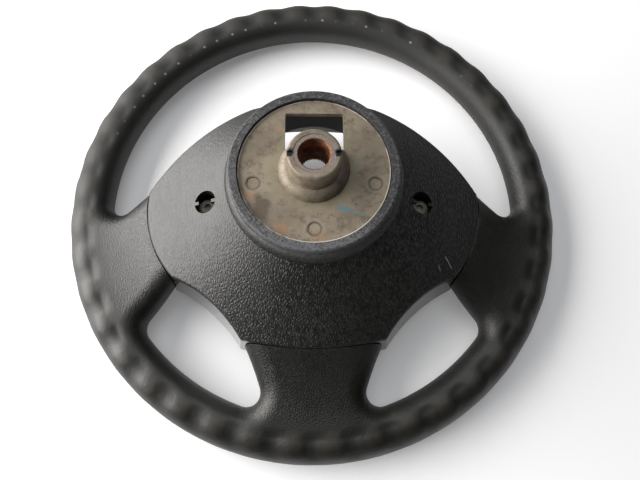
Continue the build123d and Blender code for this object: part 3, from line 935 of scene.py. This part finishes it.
@dataclass
class Grip:
    """Foam moulding of the rim and its three spokes.

    Sizes are in millimetres, wave_rise and wave_fall in degrees round the rim's section.
    """

    rim_radius: float = 174.5
    grip_radius: float = 15.5
    cone: Cone = Cone()
    root_radius: float = 10.0
    waves: int = 40
    wave_depth: float = 1.7
    wave_sharpness: float = 1.3
    wave_rise: Point = (0.0, 55.0)
    wave_fall: Point = (96.0, 120.0)
    rim_zone: Point = (156.0, 170.0)
    side_top: LineEdge = LineEdge((90.0, 31.2), radians(-35.2), 1)
    side_low: LineEdge = LineEdge((78.7, -38.1), radians(-49.7), -1)
    foot: ArcEdge = ArcEdge((72.0, -68.0), (44.2, -121.25), (30.4, -174.5))
    side_cut: WallCut = WallCut((105.5, -70.0), (127.7, -32.5), (130.5, 4.8))
    foot_cut: WallCut = WallCut((-55.8, -113.7), (0.0, -122.0), (55.8, -113.7))
    finish: Finish = FoamFinish()
    slot: str = "foam"
    girth_steps: int = 28
    edge_steps: int = 40
    corner_steps: int = 22
    ring_step: float = radians(0.4)

    def middle_height(self, radius: Array) -> Array:
        """Height of the moulding's middle face: half a grip under its back.

        The back is a cone near the hub, and from there an arc that meets the cone and is level at the rim.

        Args:
            radius: Distances from the axis.

        Returns:
            Heights over the rest plane.
        """
        slope, depth = self.cone.slope, 2 * self.grip_radius
        rim_drop = depth - self.cone.at(self.rim_radius)
        sweep = rim_drop / (sin(slope) * tan(slope) - 1 + cos(slope))
        inward = np.maximum(self.rim_radius - radius, 0.0)
        arc = depth + sweep - np.sqrt(sweep**2 - np.minimum(inward, sweep * sin(slope)) ** 2)
        return np.where(inward < sweep * sin(slope), arc, self.cone.at(radius)) - self.grip_radius

    def inner_radius(self) -> float:
        """Radius of the rim's inner side."""
        return self.rim_radius - self.grip_radius

    def girths(self) -> Array:
        """Angles round a half section, from the front crest to the back crest."""
        return np.linspace(-pi / 2, pi / 2, self.girth_steps + 1)

    def raised(self, plan: Array, girth: Array) -> Array:
        """Points over a plan: the middle height plus the half section's height at its angle."""
        height = self.middle_height(np.linalg.norm(plan, axis=-1)) + self.grip_radius * np.sin(girth)
        return np.concatenate([plan, height[..., None]], axis=-1)

    def edge_run(self, edge: Edge, cut: WallCut, end: float) -> Array:
        """Rounded border along a spoke's edge, from the cover's wall to the round corner.

        A half circle is carried along the edge. Each row starts where it leaves the wall, found by halving.

        Args:
            edge: Edge of the spoke.
            cut: Wall that the rows start at.
            end: Distance along the edge where the corner begins.

        Returns:
            Points, angle round the section by distance along the edge.
        """
        girth = self.girths()
        inset = self.grip_radius * (1 - np.cos(girth))
        low, high = np.full(len(girth), -WALL_SEARCH), np.full(len(girth), end)
        for _ in range(WALL_ROUNDS):
            middle = (low + high) / 2
            spots, normals = edge.at(middle)
            points = self.raised(spots + inset[:, None] * normals, girth)
            within = cut.outside(points[:, :2], points[:, 2]) < 0
            low, high = np.where(within, middle, low), np.where(within, high, middle)
        share = np.linspace(0, 1, self.edge_steps + 1)
        way = high[:, None] + (end - high[:, None]) * share
        spots, normals = edge.at(way)
        return self.raised(spots + inset[:, None, None] * normals, np.broadcast_to(girth[:, None], way.shape))

    def carried(self, centre: Array, out: Array, angles: Array) -> Array:
        """Half section carried round an arc, angle round the section by angle along the arc."""
        plan = centre + out[:, None, None] * fan(angles)[None]
        return self.raised(plan, np.broadcast_to(self.girths()[:, None], plan.shape[:2]))

    def ring_run(self, centre: Array, radius: float, angles: Array) -> Array:
        """Rounded border round an arc that is open on its inner side."""
        return self.carried(centre, radius + self.grip_radius * (1 - np.cos(self.girths())), angles)

    def outer_ring(self, angles: Array) -> Array:
        """Outer half of the rim, carried round the axis."""
        return self.carried(np.zeros(2), self.rim_radius + self.grip_radius * np.cos(self.girths()), angles)

    def steps(self, begin: float, end: float) -> Array:
        """Angles from one to another in even steps near the ring step."""
        return np.linspace(begin, end, max(2, round((end - begin) / self.ring_step)) + 1)

    def root(self, edge: Edge) -> tuple[float, Array, float, float]:
        """Round corner between a spoke's edge and the inside of the rim.

        Args:
            edge: Edge of the spoke.

        Returns:
            Distance along the edge where it begins, its centre, and its angles at the edge and the rim.
        """
        way, centre = edge.corner(self.inner_radius(), self.root_radius)
        normal = edge.at(np.array([way]))[1][0]
        return way, centre, atan2(normal[1], normal[0]), atan2(centre[1], centre[0])

    def gap_border(self, first: Edge, first_cut: WallCut, last: Edge, last_cut: WallCut) -> GapBorder:
        """Rounded border of the foam round one gap: edge, corner, rim, corner and edge in a row.

        Args:
            first: Edge at the clockwise end of the gap.
            first_cut: Wall that this edge starts at.
            last: Edge at the other end.
            last_cut: Wall that this edge starts at.

        Returns:
            The border.
        """
        way_1, centre_1, from_1, rim_1 = self.root(first)
        way_2, centre_2, from_2, rim_2 = self.root(last)
        rim_2 = rim_1 + (rim_2 - rim_1) % (2 * pi)
        turn_1, turn_2 = (rim_1 - from_1) % (2 * pi), (from_2 - rim_2) % (2 * pi)
        share = np.linspace(0, 1, self.corner_steps + 1)
        corner_1 = self.ring_run(centre_1, self.root_radius, from_1 + turn_1 * share)
        corner_2 = self.ring_run(centre_2, self.root_radius, rim_2 + turn_2 * share)
        side_1 = np.concatenate([self.edge_run(first, first_cut, way_1), corner_1[:, 1:]], axis=1)
        side_2 = np.concatenate([self.edge_run(last, last_cut, way_2), corner_2[:, -2::-1]], axis=1)
        rim = self.steps(rim_1, rim_2)
        middle = self.ring_run(np.zeros(2), self.inner_radius(), rim)
        grid = np.concatenate([side_1, middle[:, 1:-1], side_2[:, ::-1]], axis=1)
        return GapBorder(grid, side_1, side_2, rim)

    def wall_curve(self, cut: WallCut, begin: Array, end: Array, count: int, girth: float) -> Array:
        """Curve on the cover's wall between two points of one crest.

        Along each ray from the wall's centre, the radius and the height are settled in turn.

        Args:
            cut: The wall.
            begin: First point.
            end: Last point.
            count: Number of points.
            girth: Section angle of the crest.

        Returns:
            Points along the curve.
        """
        centre, radius = cut.circle()
        one, two = (atan2(point[1] - centre[1], point[0] - centre[0]) for point in (begin, end))
        turn = (two - one + pi) % (2 * pi) - pi
        ray = fan(one + turn * np.linspace(0, 1, count))
        out = np.full(count, radius)
        for _ in range(WALL_ROUNDS):
            points = self.raised(centre + out[:, None] * ray, np.full(count, girth))
            out = radius - points[:, 2] * cut.draft
        return points

    def spoke(self, low: Array, high: Array, cut: WallCut, rim: Array) -> list[Array]:
        """Back, front and inner end of one spoke.

        Back and front are blended in radius and angle, so that they stay inside the rim's crest.

        Args:
            low: Border run at the clockwise side, from the wall to the rim.
            high: Border run at the other side.
            cut: Wall that the spoke ends at.
            rim: Angles of the rim's crest between the two runs.

        Returns:
            Three grids of points.
        """
        grids, ends = [], []
        for row, girth in ((-1, pi / 2), (0, -pi / 2)):
            wall = self.wall_curve(cut, low[row, 0], high[row, 0], len(rim), girth)
            wall[0], wall[-1] = low[row, 0], high[row, 0]
            crest = self.raised(self.rim_radius * fan(rim), np.full(len(rim), girth))
            turned = coons(*(polar(border[:, :2]) for border in (low[row], high[row], wall, crest)))
            plan = turned[..., :1] * fan(turned[..., 1])
            grids.append(self.raised(plan, np.full(plan.shape[:2], girth)))
            ends.append(wall)
        grids.append(coons(ends[1], ends[0], low[:, 0], high[:, 0]))
        return grids

    def girth_of(self, points: Array) -> Array:
        """Angle round the rim's section: 0 outside, 90 at the back, 180 inside.

        Args:
            points: Vertex places.

        Returns:
            Angles in degrees, from -90 to 270.
        """
        radius = np.hypot(points[:, 0], points[:, 1])
        angle = np.degrees(np.arctan2(points[:, 2] - self.grip_radius, radius - self.rim_radius))
        return (angle + 90) % 360 - 90

    def phase_of(self, points: Array) -> Array:
        """Phase of the finger waves in radians, 0 in a valley."""
        return self.waves * np.arctan2(points[:, 1], points[:, 0])

    def waved(self, points: Array) -> Array:
        """Presses the finger waves into the outer back of the rim.

        The depth follows a sharpened cosine round the wheel and fades out round the section.

        Args:
            points: Vertex places.

        Returns:
            The moved places.
        """
        girth = self.girth_of(points)
        valley = ((1 + np.cos(self.phase_of(points))) / 2) ** self.wave_sharpness
        zone = smooth(*self.wave_rise, girth) * (1 - smooth(*self.wave_fall, girth))
        depth = self.wave_depth * valley * zone
        angle, turn = np.arctan2(points[:, 1], points[:, 0]), np.radians(girth)
        push = np.stack([np.cos(turn) * np.cos(angle), np.cos(turn) * np.sin(angle), np.sin(turn)], axis=-1)
        return points - depth[:, None] * push

    def moulding(self) -> bpy.types.Mesh:
        """Makes the moulding's mesh with the numbers that its finish reads.

        Returns:
            The mesh, in metres.
        """
        top = self.gap_border(self.side_top, self.side_cut, self.side_top.flipped(), self.side_cut.flipped())
        low = self.gap_border(self.foot, self.foot_cut, self.side_low, self.side_cut)
        side_rim = self.steps(low.rim[-1], top.rim[0])
        foot_rim = self.steps(-pi - low.rim[0], low.rim[0])
        right = self.spoke(low.last, top.first, self.side_cut, side_rim)
        foot = self.spoke(mirrored(low.first), low.first, self.foot_cut, foot_rim)
        kit = MeshKit("grip_moulding")
        kit.put(top.grid, low.grid, mirrored(low.grid), *right, *map(mirrored, right), *foot)
        for angles in (top.rim, low.rim, side_rim, foot_rim, pi - low.rim, pi - side_rim):
            kit.put(self.outer_ring(angles))
        mesh = kit.mesh()
        points = coordinates(mesh)
        carry(mesh, Trace.GIRTH, self.girth_of(points))
        carry(mesh, Trace.RIPPLE, np.cos(self.phase_of(points)))
        carry(mesh, Trace.FINE_RIPPLE, np.cos(2 * self.phase_of(points)))
        carry(mesh, Trace.ON_RIM, smooth(*self.rim_zone, np.hypot(points[:, 0], points[:, 1])))
        mesh.vertices.foreach_set("co", (self.waved(points) * MM).ravel())
        mesh.update()
        return mesh

    def build(self) -> None:
        """Puts the dressed moulding into the scene in place of the foam's solid."""
        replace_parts(put_in(self.moulding(), self.finish), Solid.FOAM.value)


@dataclass
class ShadeRings:
    """Painted shade: a dark ring between the cover and the arm round each access hole. Sizes in millimetres.
    """

    centre: Point = (75.0, -15.0)
    inner: float = 7.8
    outer: float = 9.8
    cone: Cone = Cone()
    top: float = 3.6
    bottom: float = 8.1
    steps: int = 64
    finish: Finish = CoverFinish()
    slot: str = "cover_plastic"

    def ring(self) -> Array:
        """One ring: a rectangle carried round the hole's axis, each corner at its own depth under the cone.

        Returns:
            Points, corner of the rectangle by angle round the hole.
        """
        out = np.array([self.inner, self.outer, self.outer, self.inner, self.inner])
        under = np.array([self.top, self.top, self.bottom, self.bottom, self.top])
        plan = np.array(self.centre) + out[:, None] * fan(np.linspace(0, 2 * pi, self.steps + 1))[:, None]
        height = self.cone.at(np.linalg.norm(plan, axis=-1)) - under
        return np.concatenate([plan, height[..., None]], axis=-1)

    def build(self) -> None:
        """Puts both rings into the scene."""
        kit = MeshKit("shade_rings")
        # Dark rings as painted shade under both access holes.
        kit.put(self.ring(), mirrored(self.ring()))
        put_in(kit.mesh(), self.finish)


@dataclass
class DressedSolids:
    """Sub-assembly that keeps its CAD solids and gets a finish on each."""

    finishes: dict[Solid, Finish]

    def dress(self, solid: Solid) -> None:
        """Gives one solid its finish.

        Args:
            solid: Node to dress.
        """
        material = self.finishes[solid].material()
        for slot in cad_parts[solid.value].material_slots:
            slot.material = material

    def build(self) -> None:
        """Dresses all of the solids."""
        for solid in self.finishes:
            self.dress(solid)


@dataclass(frozen=True)
class Lamp:
    """A soft rectangular light that looks at a point. Places in metres."""

    name: str
    place: Place
    aim: Place
    wide: float
    high: float
    power: float
    colour: Tint

    def build(self) -> bpy.types.Object:
        """Makes the light.

        Returns:
            The lamp, in the scene.
        """
        data = bpy.data.lights.new(self.name, "AREA")
        data.shape = "RECTANGLE"
        data.size, data.size_y = self.wide, self.high
        data.energy, data.color = self.power, self.colour
        lamp = bpy.data.objects.new(self.name, data)
        lamp.location = self.place
        lamp.rotation_euler = (Vector(self.aim) - Vector(self.place)).to_track_quat("-Z", "Y").to_euler()
        bpy.context.scene.collection.objects.link(lamp)
        return lamp


@dataclass
class Studio:
    """Pale floor, soft light from the left and the camera. Lengths in metres."""

    camera_place: Place = (-0.0015, -0.1391, 0.4088)
    pitch: float = radians(16.08)
    yaw: float = radians(3.29)
    roll: float = radians(3.30)
    focal_pixels: float = 520.0
    image_width: float = 640.0
    sensor: float = 36.0
    clip: Point = (0.01, 20.0)
    floor_size: float = 24.0
    floor_finish: Finish = FloorFinish()
    sky: Colour = (0.95, 0.98, 1.0, 1.0)
    sky_strength: float = 0.03
    lamps: tuple[Lamp, ...] = (
        Lamp("window", (-1.6, 0.3, 0.8), (0.0, 0.0, 0.0), 2.3, 1.45, 92.0, (1.0, 0.98, 0.96)),
        Lamp("ceiling", (-0.05, 0.5, 1.8), (0.0, 0.0, 0.0), 1.7, 1.7, 11.0, (0.97, 0.985, 1.0)),
    )

    def camera(self) -> bpy.types.Object:
        """Makes the camera from its place, pitch, yaw and roll.

        Returns:
            The camera, set as the scene's own.
        """
        ahead = Vector((sin(self.pitch) * sin(self.yaw), sin(self.pitch) * cos(self.yaw), -cos(self.pitch)))
        up = Vector((cos(self.pitch) * sin(self.yaw), cos(self.pitch) * cos(self.yaw), sin(self.pitch)))
        right = Vector((cos(self.yaw), -sin(self.yaw), 0.0))
        turned_right = cos(self.roll) * right + sin(self.roll) * up
        turned_up = cos(self.roll) * up - sin(self.roll) * right
        data = bpy.data.cameras.new("photo_camera")
        data.sensor_width = self.sensor
        data.lens = self.focal_pixels / self.image_width * self.sensor
        data.clip_start, data.clip_end = self.clip
        camera = bpy.data.objects.new("photo_camera", data)
        columns = Matrix((turned_right, turned_up, -ahead)).transposed().to_4x4()
        camera.matrix_world = Matrix.Translation(self.camera_place) @ columns
        bpy.context.scene.collection.objects.link(camera)
        bpy.context.scene.camera = camera
        return camera

    def floor(self) -> bpy.types.Object:
        """Makes the floor under the wheel.

        Returns:
            The floor, which isn't part of the object.
        """
        half = self.floor_size / 2
        mesh = bpy.data.meshes.new("floor")
        corners = [(-half, -half, 0.0), (half, -half, 0.0), (half, half, 0.0), (-half, half, 0.0)]
        mesh.from_pydata(corners, [], [(0, 1, 2, 3)])
        mesh.materials.append(self.floor_finish.material())
        floor = bpy.data.objects.new("floor", mesh)
        bpy.context.scene.collection.objects.link(floor)
        return floor

    def world(self) -> None:
        """Sets the even light of the room."""
        world = bpy.data.worlds.new("room")
        world.use_nodes = True
        node = world.node_tree.nodes["Background"]
        node.inputs["Color"].default_value = self.sky
        node.inputs["Strength"].default_value = self.sky_strength
        bpy.context.scene.world = world

    def build(self) -> None:
        """Makes camera, floor, room light and lamps, and shows colours without a film curve."""
        self.camera()
        self.floor()
        self.world()
        for lamp in self.lamps:
            lamp.build()
        bpy.context.scene.view_settings.view_transform = "Standard"


def main() -> None:
    """Builds the wheel's pieces in order, dresses the solids and sets the studio."""
    logging.basicConfig(level=logging.INFO)
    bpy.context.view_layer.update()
    pieces = {
        "grip": Grip(),
        "rear cover": DressedSolids({Solid.COVER: CoverFinish()}),
        "shade rings": ShadeRings(),
        "hub": DressedSolids({Solid.ARMATURE: CastingFinish(), Solid.BUSH: RustFinish()}),
        "fasteners": DressedSolids({Solid.BOLTS: ZincFinish(), Solid.SCREWS: ZincFinish()}),
        "studio": Studio(),
    }
    for name, piece in pieces.items():
        LOG.info("building the %s", name)
        piece.build()
    bpy.context.view_layer.update()


if __name__ == "__main__":
    main()
